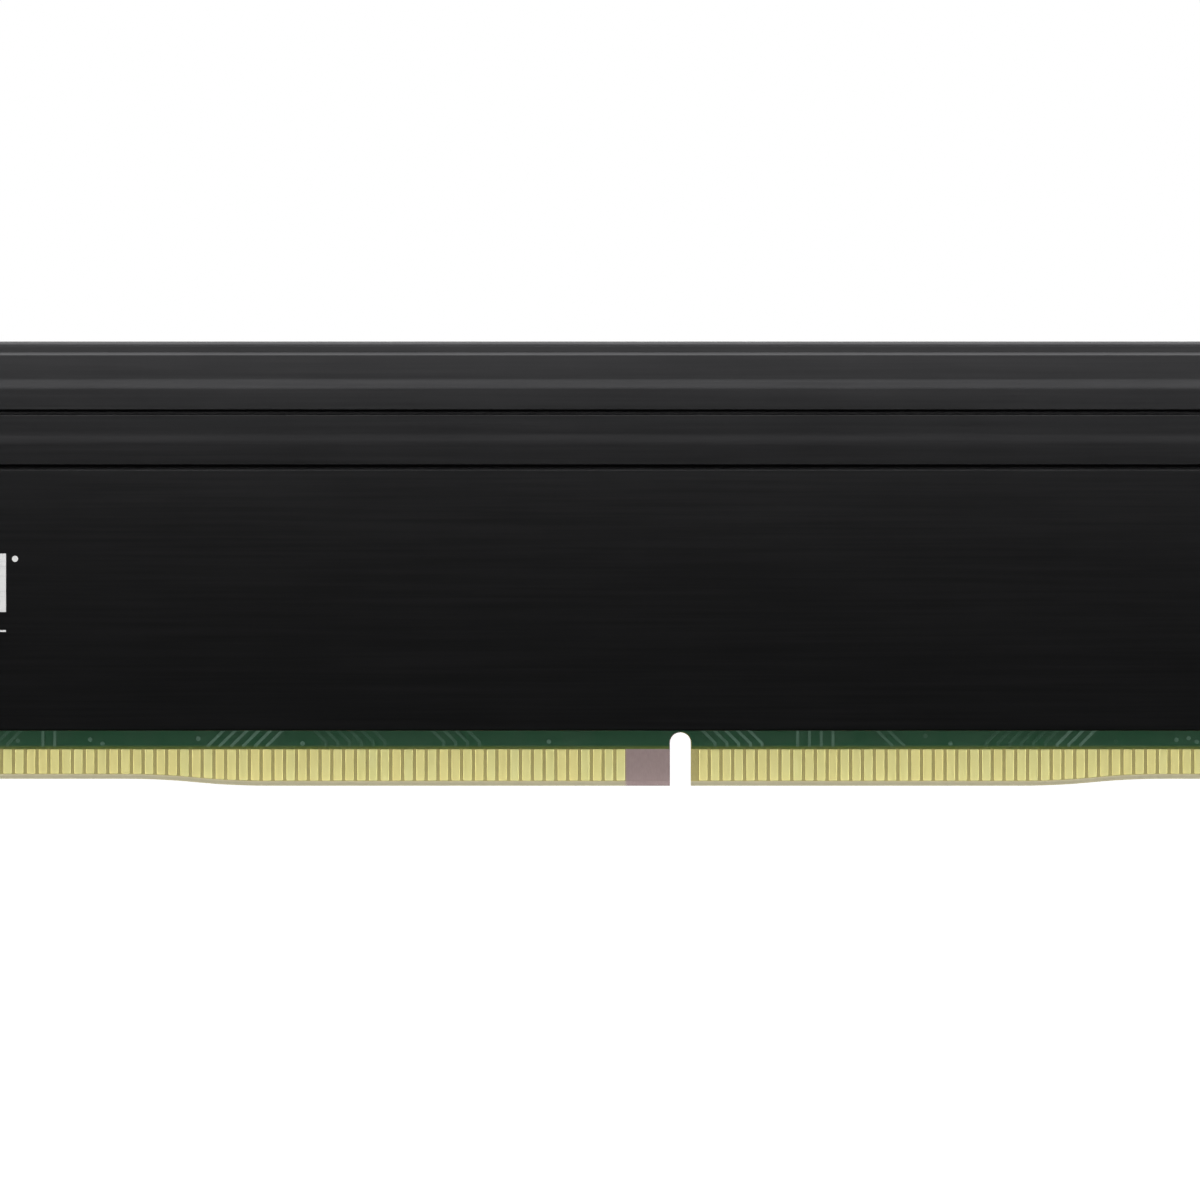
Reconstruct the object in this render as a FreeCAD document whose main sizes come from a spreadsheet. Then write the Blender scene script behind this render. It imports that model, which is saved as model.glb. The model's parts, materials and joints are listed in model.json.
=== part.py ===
"""A 288-contact desktop memory module with a two-piece aluminium heat spreader.

Frame, in millimetres: +X along the board towards contact 144, +Z up from the contact edge, and -Y out
of the front face.  The origin is the middle of the board's lowest edge, on the board's mid-plane.

Sketches hold their sizes as expressions in the sheet's aliases.  Most pieces are drawn for the front
of the board, and those of the rear are the same pieces turned half round about the vertical.
"""

import FreeCAD, Part

import math
import os
import re

import Sketcher

OUT = "parts"
Vector = FreeCAD.Vector

CELLS = {
    # board outline
    "board_length": 133.35,
    "board_height": 31.25,
    "board_thickness": 1.40,
    "end_step": 0.50,  # how much higher the contact edge is at its ends than in its middle
    "slope_length": 10.20,
    "low_edge_left": 25.50,  # from contact 77 to the left slope
    "low_edge_right": 22.95,  # from contact 78 to the right slope
    "corner_chamfer": 1.25,
    "bevel_height": 0.34,
    "bevel_depth": 0.20,
    "key_width": 1.50,
    "key_height": 3.85,
    "key_from_left": 72.25,
    "latch_low": 8.00,  # lower side of the lower latch notch
    "latch_high": 14.60,  # lower side of the upper latch notch
    "latch_height": 3.00,
    "latch_depth": 4.80,
    "latch_radius": 0.75,
    # contacts
    "contact_pitch": 0.85,
    "contact_width": 0.60,
    "contact_top": 2.65,
    "contact_edge_gap": 0.38,
    "contact_thickness": 0.04,
    "first_contact": 3.35,  # from the board's left end to contact 1
    "long_row_count": 77,
    "short_row_count": 67,
    "row_gap": 5.95,  # from contact 77 to contact 78
    # heat spreader section, with depths measured from the board's mid-plane
    "spreader_bottom": 4.00,
    "spreader_top": 32.00,
    "spreader_inside": 2.30,
    "wall_thickness": 0.80,
    "lip_clearance": 0.05,
    "seam_half_gap": 0.10,
    "fold_radius": 0.40,
    "fold_inner_radius": 0.30,
    "shoulder": 0.20,
    "shoulder_level": 31.20,
    "lower_groove": 22.95,
    "upper_groove": 26.90,
    "groove_half_width": 0.19,
    "groove_floor_half": 0.10,
    "groove_depth": 0.40,
    "lower_rib_rise": 0.04,
    "lower_rib_top": 24.70,
    "lower_rib_run": 0.60,
    "upper_rib_rise": 0.13,
    "upper_rib_top": 28.70,
    "upper_rib_run": 0.48,
    "foot_round": 0.12,
    # heat spreader ends
    "spreader_low_half": 61.20,
    "step_low": 17.40,
    "step_high": 22.00,
    "spreader_corner": 1.00,
    # memory chips
    "chips_per_half": 4,
    "chip_pitch": 13.50,
    "first_chip": 14.50,  # from the board's middle to the nearest chip's middle
    "chip_width": 7.50,
    "chip_height": 11.00,
    "chip_level": 15.70,
    "mould_thickness": 0.62,
    "dimple_radius": 0.35,
    "dimple_depth": 0.05,
    "dimple_inset": 0.90,
    "substrate_thickness": 0.20,
    "ball_standoff": 0.28,
    "ball_radius": 0.22,
    "ball_pitch": 0.80,
    "ball_rows": 13,
    "ball_columns": 3,
    "inner_ball": 1.60,  # from the chip's middle to the innermost column
    # thermal pads
    "thermal_pad_half": 59.80,
    "thermal_pad_bottom": 9.70,
    "thermal_pad_height": 12.00,
    # arrays of four resistors
    "array_length": 2.00,
    "array_width": 0.64,
    "array_thickness": 0.42,
    "array_pitch": 0.50,
    "array_end_width": 0.30,
    "array_end_depth": 0.18,
    "array_level": 6.40,
    "array_offset": 1.90,
    "termination_column": 60.10,
    "termination_bottom": 6.20,
    "termination_pitch": 2.60,
    "termination_count": 7,
    # chip capacitors and resistors, with metal ends
    "small_body": 0.50,
    "small_end": 0.25,
    "small_width": 0.50,
    "capacitor_low": 8.90,
    "capacitor_high": 22.60,
    "capacitor_offset": 2.20,
    "capacitor_stack": 2.75,
    "resistor_thickness": 0.35,
    "calibration_level": 24.20,
    "large_body": 0.90,
    "large_end": 0.35,
    "large_width": 0.80,
    "supply_level": 26.60,
    "supply_middle": 3.40,
    # identity memory
    "eeprom_width": 3.00,
    "eeprom_height": 2.00,
    "eeprom_thickness": 0.50,
    "eeprom_level": 13.60,
    "lead_width": 0.28,
    "lead_reach": 0.18,
    "lead_thickness": 0.17,
    "lead_pitch": 0.50,
    # printed emblem
    "emblem_right": -42.93,
    "emblem_bottom": 12.54,
    "emblem_bars": 5,
    "bar_width": 1.10,
    "bar_pitch": 2.00,
    "bar_shortest": 1.60,
    "bar_step": 0.65,
    "rule_level": 11.17,
    "rule_height": 0.14,
    "dot_gap": 0.65,
    "dot_drop": 0.38,
    "dot_radius": 0.22,
    "print_thickness": 0.03,
    # film label
    "label_width": 46.00,
    "label_height": 13.00,
    "label_thickness": 0.08,
    "label_bottom": 7.20,
    "label_corner": 1.00,
}

doc = FreeCAD.newDocument("memory_module")
dims = doc.addObject("Spreadsheet::Sheet", "Dims")
for row, (alias, number) in enumerate(CELLS.items(), start=1):
    dims.set(f"A{row}", str(number))
    dims.setAlias(f"A{row}", alias)
doc.recompute()

bodies = []


# ---- Sketches and features -----------------------------------------------------------------------


def cell(expression):
    """The value of an expression in the sheet's aliases."""
    return float(dims.evalExpression(expression))


def bind(target, name, expression):
    """Ties a property to an expression in the sheet's aliases."""
    words = re.sub(r"[a-z]\w*", lambda m: f"Dims.{m[0]}" if m[0] in CELLS else m[0], expression)
    target.setExpression(name, words)


def new_body(label, rear=False):
    body = doc.addObject("PartDesign::Body", label)
    body.Label = label
    if rear:
        body.Placement = FreeCAD.Placement(Vector(), FreeCAD.Rotation(Vector(0, 0, 1), 180))
    bodies.append(body)
    return body


def origin_feature(body, role):
    return next(feature for feature in body.Origin.OriginFeatures if feature.Role == role)


def new_sketch(body, name, plane, offset):
    sketch = body.newObject("Sketcher::SketchObject", name)
    sketch.AttachmentSupport = [(origin_feature(body, plane), "")]
    sketch.MapMode = "FlatFace"
    bind(sketch, "AttachmentOffset.Base.z", offset)
    return sketch


def hold(sketch, kind, geometry, point, expression):
    """Holds one coordinate of a point of a sketch."""
    constraint = Sketcher.Constraint(kind, -1, 1, geometry, point, cell(expression))
    name = f"{kind}_{geometry}_{point}"
    sketch.renameConstraint(sketch.addConstraint(constraint), name)
    bind(sketch, f"Constraints.{name}", expression)


def checked(sketch):
    doc.recompute()
    if not sketch.FullyConstrained:
        raise RuntimeError(f"{sketch.Name} is not fully constrained")
    return sketch


def arc_between(start, end, centre, turn):
    """An arc from start to end that turns left or right about a centre."""
    first, last = (start, end) if turn == "left" else (end, start)
    begin, finish = (math.atan2(p.y - centre.y, p.x - centre.x) for p in (first, last))
    if finish < begin:
        finish += 2 * math.pi
    circle = Part.Circle(centre, Vector(0, 0, 1), centre.distanceToPoint(start))
    return Part.ArcOfCircle(circle, begin, finish)


def outline(body, name, corners, plane="XZ_Plane", offset="0"):
    """A closed sketch.  A corner is (across, up), or (across, up, centre_across, centre_up, turn)
    where the edge that leaves it is an arc."""
    sketch = new_sketch(body, name, plane, offset)
    points = [Vector(cell(corner[0]), cell(corner[1]), 0) for corner in corners]
    following = points[1:] + points[:1]
    begins, finishes = [], []
    for corner, start, end in zip(corners, points, following):
        if len(corner) == 5:
            centre = Vector(cell(corner[2]), cell(corner[3]), 0)
            sketch.addGeometry(arc_between(start, end, centre, corner[4]), False)
        else:
            sketch.addGeometry(Part.LineSegment(start, end), False)
        backwards = corner[-1] == "right"
        begins.append(2 if backwards else 1)
        finishes.append(1 if backwards else 2)
    for i, finish in enumerate(finishes):
        after = (i + 1) % len(corners)
        joined = Sketcher.Constraint("Coincident", i, finish, after, begins[after])
        sketch.addConstraint(joined)
    for i, corner in enumerate(corners):
        hold(sketch, "DistanceX", i, begins[i], corner[0])
        hold(sketch, "DistanceY", i, begins[i], corner[1])
        if len(corner) == 5:
            chord = following[i] - points[i]
            level = abs(chord.x) > abs(chord.y)
            hold(sketch, "DistanceY" if level else "DistanceX", i, 3, corner[3] if level else corner[2])
    return checked(sketch)


def rectangle(centre_across, centre_up, width, height):
    left, right = f"{centre_across} - ({width}) / 2", f"{centre_across} + ({width}) / 2"
    bottom, top = f"{centre_up} - ({height}) / 2", f"{centre_up} + ({height}) / 2"
    return [(left, bottom), (right, bottom), (right, top), (left, top)]


def disc(body, name, across, up, radius, offset):
    """A sketch of one circle, parallel to the board."""
    sketch = new_sketch(body, name, "XZ_Plane", offset)
    centre = Vector(cell(across), cell(up), 0)
    sketch.addGeometry(Part.Circle(centre, Vector(0, 0, 1), cell(radius)), False)
    hold(sketch, "DistanceX", 0, 3, across)
    hold(sketch, "DistanceY", 0, 3, up)
    size = sketch.addConstraint(Sketcher.Constraint("Radius", 0, cell(radius)))
    sketch.renameConstraint(size, "Radius")
    bind(sketch, "Constraints.Radius", radius)
    return checked(sketch)


def pad(body, sketch, length, symmetric=False):
    """Raises a sketch: out of the front of the board where its plane is parallel to the board."""
    feature = body.newObject("PartDesign::Pad", sketch.Name + "_pad")
    feature.Profile = sketch
    feature.SideType = "Symmetric" if symmetric else "One side"
    bind(feature, "Length", length)
    doc.recompute()
    return feature


def layer(body, name, corners, depth, thickness):
    """A flat piece of the front, from depth to depth + thickness out from the board's mid-plane."""
    return pad(body, outline(body, name, corners, offset=depth), thickness)


def pocket(body, sketch, length, symmetric=False):
    """Cuts a sketch away, inwards or both ways, and fails if it meets nothing."""
    before = body.Shape.Volume
    feature = body.newObject("PartDesign::Pocket", sketch.Name + "_pocket")
    feature.Profile = sketch
    feature.SideType = "Symmetric" if symmetric else "One side"
    bind(feature, "Length", length)
    doc.recompute()
    if not body.Shape.Volume < before - 1e-6:
        raise RuntimeError(f"{feature.Name} cut nothing")
    return feature


def cut_through(body, name, corners):
    return pocket(body, outline(body, name, corners), "board_length", symmetric=True)


def dress(body, kind, name, base, wanted):
    """A Fillet or Chamfer on those edges of base that wanted() picks."""
    edges = [f"Edge{i}" for i, edge in enumerate(base.Shape.Edges, start=1) if wanted(edge)]
    if not edges:
        raise RuntimeError(f"{name} found no edge")
    feature = body.newObject(f"PartDesign::{kind}", name)
    feature.Base = (base, edges)
    return feature


def fillet(body, name, base, radius, wanted):
    feature = dress(body, "Fillet", name, base, wanted)
    bind(feature, "Radius", radius)
    doc.recompute()


def line_step(body, name, axis, count, pitch):
    """One direction of a pattern."""
    step = body.newObject("PartDesign::LinearPattern", name)
    step.Direction = (origin_feature(body, axis), [""])
    step.Mode = "Spacing"
    bind(step, "Occurrences", count)
    bind(step, "Offset", pitch)
    return step


def repeat(body, original, *steps, mirror=True):
    """Repeats a feature.  A step is (axis, count, pitch); mirror adds the board's other half."""
    pattern = body.newObject("PartDesign::MultiTransform", original.Name + "_pattern")
    pattern.Originals = [original]
    pattern.Refine = False
    moves = [line_step(body, f"{pattern.Name}_{i}", *step) for i, step in enumerate(steps, start=1)]
    if mirror:
        reflection = body.newObject("PartDesign::Mirrored", pattern.Name + "_mirror")
        reflection.MirrorPlane = (origin_feature(body, "YZ_Plane"), [""])
        moves.append(reflection)
    pattern.Transformations = moves
    body.Tip = pattern
    doc.recompute()


def expect_solids(body, expression):
    if len(body.Shape.Solids) != round(cell(expression)):
        raise RuntimeError(f"{body.Label} has {len(body.Shape.Solids)} solids")


def runs_along(edge, direction):
    """Whether an edge is straight and parallel to a direction."""
    if not isinstance(edge.Curve, Part.Line):
        return False
    return abs(abs(edge.tangentAt(edge.FirstParameter).dot(direction)) - 1) < 1e-6


def runs_out(edge):
    """Whether an edge is straight and square to the board."""
    return runs_along(edge, Vector(0, 1, 0))


def middle_is(edge, **wanted):
    """Whether an edge's middle is at the distances wanted from the board's middle planes and foot."""
    centre = edge.BoundBox.Center
    found = {"across": abs(centre.x), "out": abs(centre.y), "up": centre.z}
    return all(abs(found[key] - cell(text)) < 1e-4 for key, text in wanted.items())


# ---- Board ---------------------------------------------------------------------------------------

HALF = "board_length / 2"
FACE = "board_thickness / 2"
CONTACT_1 = f"(-{HALF} + first_contact)"
CONTACT_77 = f"({CONTACT_1} + (long_row_count - 1) * contact_pitch)"
CONTACT_78 = f"({CONTACT_77} + row_gap)"
LEFT_SLOPE = f"({CONTACT_77} - low_edge_left)"
RIGHT_SLOPE = f"({CONTACT_78} + low_edge_right)"
SLOPE_RADIUS = "((slope_length / 2) ^ 2 + (end_step / 2) ^ 2) / end_step"


def contact_edge(lift):
    """The board's lower edge from left to right, raised by lift: high, low in the middle, and high,
    joined by slopes that start and end level."""
    low, middle, high = lift, f"end_step / 2 + {lift}", f"end_step + {lift}"
    under, over = f"{high} - {SLOPE_RADIUS}", f"{low} + {SLOPE_RADIUS}"
    left_end, right_end = f"{LEFT_SLOPE} - slope_length", f"{RIGHT_SLOPE} + slope_length"
    return [
        (left_end, high, left_end, under, "right"),
        (f"{LEFT_SLOPE} - slope_length / 2", middle, LEFT_SLOPE, over, "left"),
        (LEFT_SLOPE, low),
        (RIGHT_SLOPE, low, RIGHT_SLOPE, over, "left"),
        (f"{RIGHT_SLOPE} + slope_length / 2", middle, right_end, under, "right"),
        (right_end, high),
    ]


def make_board():
    body = new_body("pcb")
    corners = [
        (f"-{HALF} + corner_chamfer", "end_step"),
        *contact_edge("0"),
        (f"{HALF} - corner_chamfer", "end_step"),
        (HALF, "end_step + corner_chamfer"),
        (HALF, "board_height"),
        (f"-{HALF}", "board_height"),
        (f"-{HALF}", "end_step + corner_chamfer"),
    ]
    slab = pad(body, outline(body, "board", corners), "board_thickness", symmetric=True)
    bevel_contact_edge(body, slab)
    cut_key_notch(body)
    cut_latch_notches(body)


def bevel_contact_edge(body, slab):
    def on_contact_edge(edge):
        box = edge.BoundBox
        return box.ZMax < cell("end_step") + 1e-3 and box.YLength < 1e-6

    bevel = dress(body, "Chamfer", "contact_bevel", slab, on_contact_edge)
    bevel.ChamferType = "Two distances"
    bind(bevel, "Size", "bevel_depth")
    bind(bevel, "Size2", "bevel_height")
    doc.recompute()


def cut_key_notch(body):
    """The round-topped notch that keeps the module from being fitted the wrong way round."""
    middle = f"-{HALF} + key_from_left"
    left, right = f"{middle} - key_width / 2", f"{middle} + key_width / 2"
    crown = "key_height - key_width / 2"
    corners = [(left, "-1"), (right, "-1"), (right, crown, middle, crown, "left"), (left, crown)]
    cut_through(body, "key", corners)


def cut_latch_notches(body):
    """Two notches at each end, for the socket's latches."""
    for side, sign in (("left", "-"), ("right", "")):
        for level, bottom in (("lower", "latch_low"), ("upper", "latch_high")):
            middle = f"{bottom} + latch_height / 2"
            corners = rectangle(f"{sign}{HALF}", middle, "2 * latch_depth", "latch_height")
            notched = cut_through(body, f"{level}_{side}_latch", corners)

    def inner_corner(edge):
        return runs_out(edge) and middle_is(edge, across=f"{HALF} - latch_depth")

    fillet(body, "latch_corners", notched, "latch_radius", inner_corner)


# ---- Contacts ------------------------------------------------------------------------------------


def make_contacts(label, first, count, rear):
    """A row of gold contacts on one face of the board, with their feet cut to follow its edge."""
    body = new_body(label)
    depth = f"-{FACE} - contact_thickness" if rear else FACE
    bar = rectangle(first, "contact_top / 2", "contact_width", "contact_top")
    contact = layer(body, f"{label}_contact", bar, depth, "contact_thickness")
    repeat(body, contact, ("X_Axis", count, "contact_pitch"), mirror=False)
    below = [
        (f"-{HALF}", "end_step + contact_edge_gap"),
        *contact_edge("contact_edge_gap"),
        (HALF, "end_step + contact_edge_gap"),
        (HALF, "-1"),
        (f"-{HALF}", "-1"),
    ]
    cut_through(body, f"{label}_feet", below)
    expect_solids(body, count)


# ---- Heat spreader -------------------------------------------------------------------------------

WALL = "(spreader_inside + wall_thickness)"


def spreader_section():
    """The front half's section, as (depth, height): up the inside, out along the folded lip, over the
    shoulder, and down the outside past two ribs, each with a groove under it, to the foot."""
    upper_rib, lower_rib = f"-{WALL} - upper_rib_rise", f"-{WALL} - lower_rib_rise"
    floor = f"-{WALL} + groove_depth"
    lip = "board_height + lip_clearance"
    inner = ("-spreader_inside + fold_inner_radius", f"{lip} - fold_inner_radius")
    outer = (f"-{WALL} + shoulder + fold_radius", "spreader_top - fold_radius")
    return [
        ("-spreader_inside", "spreader_bottom"),
        ("-spreader_inside", inner[1], *inner, "right"),
        (inner[0], lip),
        ("-seam_half_gap", lip),
        ("-seam_half_gap", "spreader_top"),
        (outer[0], "spreader_top", *outer, "left"),
        (f"-{WALL} + shoulder", outer[1]),
        (f"-{WALL} + shoulder", "shoulder_level"),
        (f"-{WALL}", "shoulder_level - shoulder"),
        (f"-{WALL}", "upper_rib_top + upper_rib_run"),
        (upper_rib, "upper_rib_top"),
        (upper_rib, "upper_groove + groove_half_width"),
        (floor, "upper_groove + groove_floor_half"),
        (floor, "upper_groove - groove_floor_half"),
        (f"-{WALL}", "upper_groove - groove_half_width"),
        (f"-{WALL}", "lower_rib_top + lower_rib_run"),
        (lower_rib, "lower_rib_top"),
        (lower_rib, "lower_groove + groove_half_width"),
        (floor, "lower_groove + groove_floor_half"),
        (floor, "lower_groove - groove_floor_half"),
        (f"-{WALL}", "lower_groove - groove_half_width"),
        (f"-{WALL}", "spreader_bottom"),
    ]


def make_spreader(label, rear):
    """One half of the heat spreader, folded over the board's top edge."""
    body = new_body(label, rear)
    section = outline(body, f"{label}_section", spreader_section(), plane="YZ_Plane")
    pad(body, section, "board_length", symmetric=True)
    for side, sign in (("left", "-"), ("right", "")):
        beyond = [
            (f"{sign}spreader_low_half", "0"),
            (f"{sign}spreader_low_half", "step_low"),
            (f"{sign}{HALF}", "step_high"),
            (f"{sign}board_length", "step_high"),
            (f"{sign}board_length", "0"),
        ]
        shortened = cut_through(body, f"{label}_{side}_end", beyond)

    def end_corner(edge):
        foot = middle_is(edge, across="spreader_low_half", up="spreader_bottom")
        bend = middle_is(edge, across="spreader_low_half", up="step_low")
        tip = middle_is(edge, across=HALF, up="step_high")
        return runs_out(edge) and (foot or bend or tip)

    def foot_edge(edge):
        return runs_along(edge, Vector(1, 0, 0)) and middle_is(edge, out=WALL, up="spreader_bottom")

    fillet(body, f"{label}_corners", shortened, "spreader_corner", end_corner)
    fillet(body, f"{label}_foot", body.Tip, "foot_round", foot_edge)


# ---- Memory chips --------------------------------------------------------------------------------

SUBSTRATE = f"{FACE} + ball_standoff"
MOULD = f"{SUBSTRATE} + substrate_thickness"
CHIP_TOP = f"{MOULD} + mould_thickness"
OVER_CHIPS = ("X_Axis", "chips_per_half", "chip_pitch")


def chip_centres():
    """The chips' middles along the board, from left to right."""
    right = [f"(first_chip + {i} * chip_pitch)" for i in range(round(cell("chips_per_half")))]
    return [f"-{centre}" for centre in reversed(right)] + right


def make_chip(label, centre, rear):
    """The moulded body of one memory chip, with the dimple that marks its first ball."""
    body = new_body(label, rear)
    face = rectangle(centre, "chip_level", "chip_width", "chip_height")
    layer(body, f"{label}_mould", face, MOULD, "mould_thickness")
    across = f"{centre} - chip_width / 2 + dimple_inset"
    up = "chip_level + chip_height / 2 - dimple_inset"
    pocket(body, disc(body, f"{label}_dimple", across, up, "dimple_radius", CHIP_TOP), "dimple_depth")


def make_substrates(label, rear):
    """The laminate that each chip's mould sits on."""
    body = new_body(label, rear)
    face = rectangle("first_chip", "chip_level", "chip_width", "chip_height")
    repeat(body, layer(body, f"{label}_sheet", face, SUBSTRATE, "substrate_thickness"), OVER_CHIPS)
    expect_solids(body, "2 * chips_per_half")


def make_balls(label, rear):
    """The solder balls: two banks of columns under each chip, flattened where they wet."""
    body = new_body(label, rear)
    centre = "first_chip - inner_ball - (ball_columns - 1) * ball_pitch"
    rim = f"{centre} + sqrt(ball_radius ^ 2 - (ball_standoff / 2) ^ 2)"
    chip_side, board_side = f"-({SUBSTRATE})", f"-{FACE}"
    profile = [
        (centre, chip_side),
        (rim, chip_side, centre, f"{board_side} - ball_standoff / 2", "left"),
        (rim, board_side),
        (centre, board_side),
    ]
    lowest = "chip_level - (ball_rows - 1) / 2 * ball_pitch"
    sketch = outline(body, f"{label}_profile", profile, plane="XY_Plane", offset=lowest)
    ball = body.newObject("PartDesign::Revolution", f"{label}_ball")
    ball.Profile = sketch
    ball.ReferenceAxis = (sketch, ["Edge4"])
    doc.recompute()
    columns = ("X_Axis", "ball_columns", "ball_pitch")
    rows = ("Z_Axis", "ball_rows", "ball_pitch")
    banks = ("X_Axis", "2", "2 * inner_ball + (ball_columns - 1) * ball_pitch")
    repeat(body, ball, columns, rows, banks, OVER_CHIPS)
    expect_solids(body, "2 * ball_columns * ball_rows * 2 * chips_per_half")


# ---- Small components ----------------------------------------------------------------------------

ARRAY_ENDS_APART = "(array_width + array_end_depth)"


def make_data_resistors(label, rear):
    """Arrays of four series resistors on the data lines, two under each chip."""
    first = "first_chip - array_offset"
    pairs = ("X_Axis", "2", "2 * array_offset")
    body = new_body(label, rear)
    face = rectangle(first, "array_level", "array_length", "array_width")
    repeat(body, layer(body, f"{label}_block", face, FACE, "array_thickness"), pairs, OVER_CHIPS)
    expect_solids(body, "2 * 2 * chips_per_half")

    body = new_body(f"{label}_terminals", rear)
    across, up = f"{first} - 1.5 * array_pitch", f"array_level - {ARRAY_ENDS_APART} / 2"
    face = rectangle(across, up, "array_end_width", "array_end_depth")
    end = layer(body, f"{label}_end", face, FACE, "array_thickness")
    along, sides = ("X_Axis", "4", "array_pitch"), ("Z_Axis", "2", ARRAY_ENDS_APART)
    repeat(body, end, along, sides, pairs, OVER_CHIPS)
    expect_solids(body, "8 * 2 * 2 * chips_per_half")


def make_termination_resistors(label):
    """The upright column of arrays that ends the address lines, at the board's right end."""
    column = ("Z_Axis", "termination_count", "termination_pitch")
    body = new_body(label)
    face = rectangle("termination_column", "termination_bottom", "array_width", "array_length")
    repeat(body, layer(body, f"{label}_block", face, FACE, "array_thickness"), column, mirror=False)
    expect_solids(body, "termination_count")

    body = new_body(f"{label}_terminals")
    across = f"termination_column - {ARRAY_ENDS_APART} / 2"
    up = "termination_bottom - 1.5 * array_pitch"
    face = rectangle(across, up, "array_end_depth", "array_end_width")
    end = layer(body, f"{label}_end", face, FACE, "array_thickness")
    along, sides = ("Z_Axis", "4", "array_pitch"), ("X_Axis", "2", ARRAY_ENDS_APART)
    repeat(body, end, along, sides, column, mirror=False)
    expect_solids(body, "8 * termination_count")


def make_two_ended(label, rear, size, groups, count):
    """Two nodes for one kind of chip capacitor or resistor: its blocks, and their metal ends.

    size is (length, end, width, thickness).  Each of groups is (across, up, upright, steps): the first
    block's middle, whether it stands upright, and the steps that repeat it on its half of the board."""
    length, end, width, thickness = size
    apart = f"({length} + {end})"
    body = new_body(label, rear)
    for number, (across, up, upright, steps) in enumerate(groups, start=1):
        sides = (width, length) if upright else (length, width)
        block = layer(body, f"{label}_{number}", rectangle(across, up, *sides), FACE, thickness)
        repeat(body, block, *steps)
    expect_solids(body, count)

    body = new_body(f"{label}_terminals", rear)
    for number, (across, up, upright, steps) in enumerate(groups, start=1):
        if upright:
            face = rectangle(across, f"{up} - {apart} / 2", width, end)
            both = ("Z_Axis", "2", apart)
        else:
            face = rectangle(f"{across} - {apart} / 2", up, end, width)
            both = ("X_Axis", "2", apart)
        repeat(body, layer(body, f"{label}_end_{number}", face, FACE, thickness), both, *steps)
    expect_solids(body, f"2 * ({count})")


def make_decoupling_capacitors(label, rear):
    """Two capacitors below and two above each chip, and three in each gap between chips."""
    pairs = ("X_Axis", "2", "2 * capacitor_offset")
    levels = ("Z_Axis", "2", "capacitor_high - capacitor_low")
    gaps = ("X_Axis", "chips_per_half - 1", "chip_pitch")
    stack = ("Z_Axis", "3", "capacitor_stack")
    groups = [
        ("first_chip - capacitor_offset", "capacitor_low", False, (pairs, levels, OVER_CHIPS)),
        ("first_chip + chip_pitch / 2", "chip_level - capacitor_stack", True, (stack, gaps)),
    ]
    size = ("small_body", "small_end", "small_width", "small_width")
    make_two_ended(label, rear, size, groups, "2 * (4 * chips_per_half + 3 * (chips_per_half - 1))")


def make_calibration_resistors(label, rear):
    """One resistor above each chip, which its output drivers are measured against."""
    groups = [("first_chip", "calibration_level", False, (OVER_CHIPS,))]
    size = ("small_body", "small_end", "small_width", "resistor_thickness")
    make_two_ended(label, rear, size, groups, "2 * chips_per_half")


def make_supply_capacitors(label):
    """Larger capacitors along the top: over the outer and inner gaps between chips, and two between."""
    apart = ("X_Axis", "2", "2 * chip_pitch")
    groups = [
        ("first_chip + chip_pitch / 2", "supply_level", False, (apart,)),
        ("supply_middle", "supply_level", False, ()),
    ]
    size = ("large_body", "large_end", "large_width", "large_width")
    make_two_ended(label, False, size, groups, "2 * (2 + 1)")


def make_eeprom(label):
    """The small memory that tells the computer what the module is, and its leads."""
    body = new_body(label)
    face = rectangle("0", "eeprom_level", "eeprom_width", "eeprom_height")
    layer(body, f"{label}_mould", face, FACE, "eeprom_thickness")

    body = new_body(f"{label}_leads")
    apart = "(eeprom_width + lead_reach)"
    face = rectangle(f"-{apart} / 2", "eeprom_level - 1.5 * lead_pitch", "lead_reach", "lead_width")
    lead = layer(body, f"{label}_lead", face, FACE, "lead_thickness")
    repeat(body, lead, ("Z_Axis", "4", "lead_pitch"), ("X_Axis", "2", apart), mirror=False)
    expect_solids(body, "8")


# ---- Thermal pads and print ----------------------------------------------------------------------


def make_thermal_pad(label, rear):
    """The soft strip that carries heat from the chips to one half of the spreader."""
    body = new_body(label, rear)
    middle = "thermal_pad_bottom + thermal_pad_height / 2"
    face = rectangle("0", middle, "2 * thermal_pad_half", "thermal_pad_height")
    layer(body, f"{label}_strip", face, CHIP_TOP, f"spreader_inside - ({CHIP_TOP})")


def make_emblem(label):
    """Plain bars of rising height over a thin rule, with a dot beside the tallest bar."""
    body = new_body(label)
    count = round(cell("emblem_bars"))
    for i in range(count):
        across = f"emblem_right - bar_width / 2 - {count - 1 - i} * bar_pitch"
        tall = f"(bar_shortest + {i} * bar_step)"
        face = rectangle(across, f"emblem_bottom + {tall} / 2", "bar_width", tall)
        layer(body, f"{label}_bar_{i + 1}", face, WALL, "print_thickness")
    width = "((emblem_bars - 1) * bar_pitch + bar_width)"
    face = rectangle(f"emblem_right - {width} / 2", "rule_level", width, "rule_height")
    layer(body, f"{label}_rule", face, WALL, "print_thickness")
    up = "emblem_bottom + bar_shortest + (emblem_bars - 1) * bar_step - dot_drop"
    dot = disc(body, f"{label}_dot", "emblem_right + dot_gap", up, "dot_radius", WALL)
    pad(body, dot, "print_thickness")
    expect_solids(body, "emblem_bars + 2")


def make_label(label):
    """A plain film label on the rear half of the spreader."""
    body = new_body(label, rear=True)
    face = rectangle("0", "label_bottom + label_height / 2", "label_width", "label_height")
    film = layer(body, f"{label}_film", face, WALL, "label_thickness")
    fillet(body, f"{label}_corners", film, "label_corner", runs_out)


# ---- The whole module ----------------------------------------------------------------------------


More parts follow.
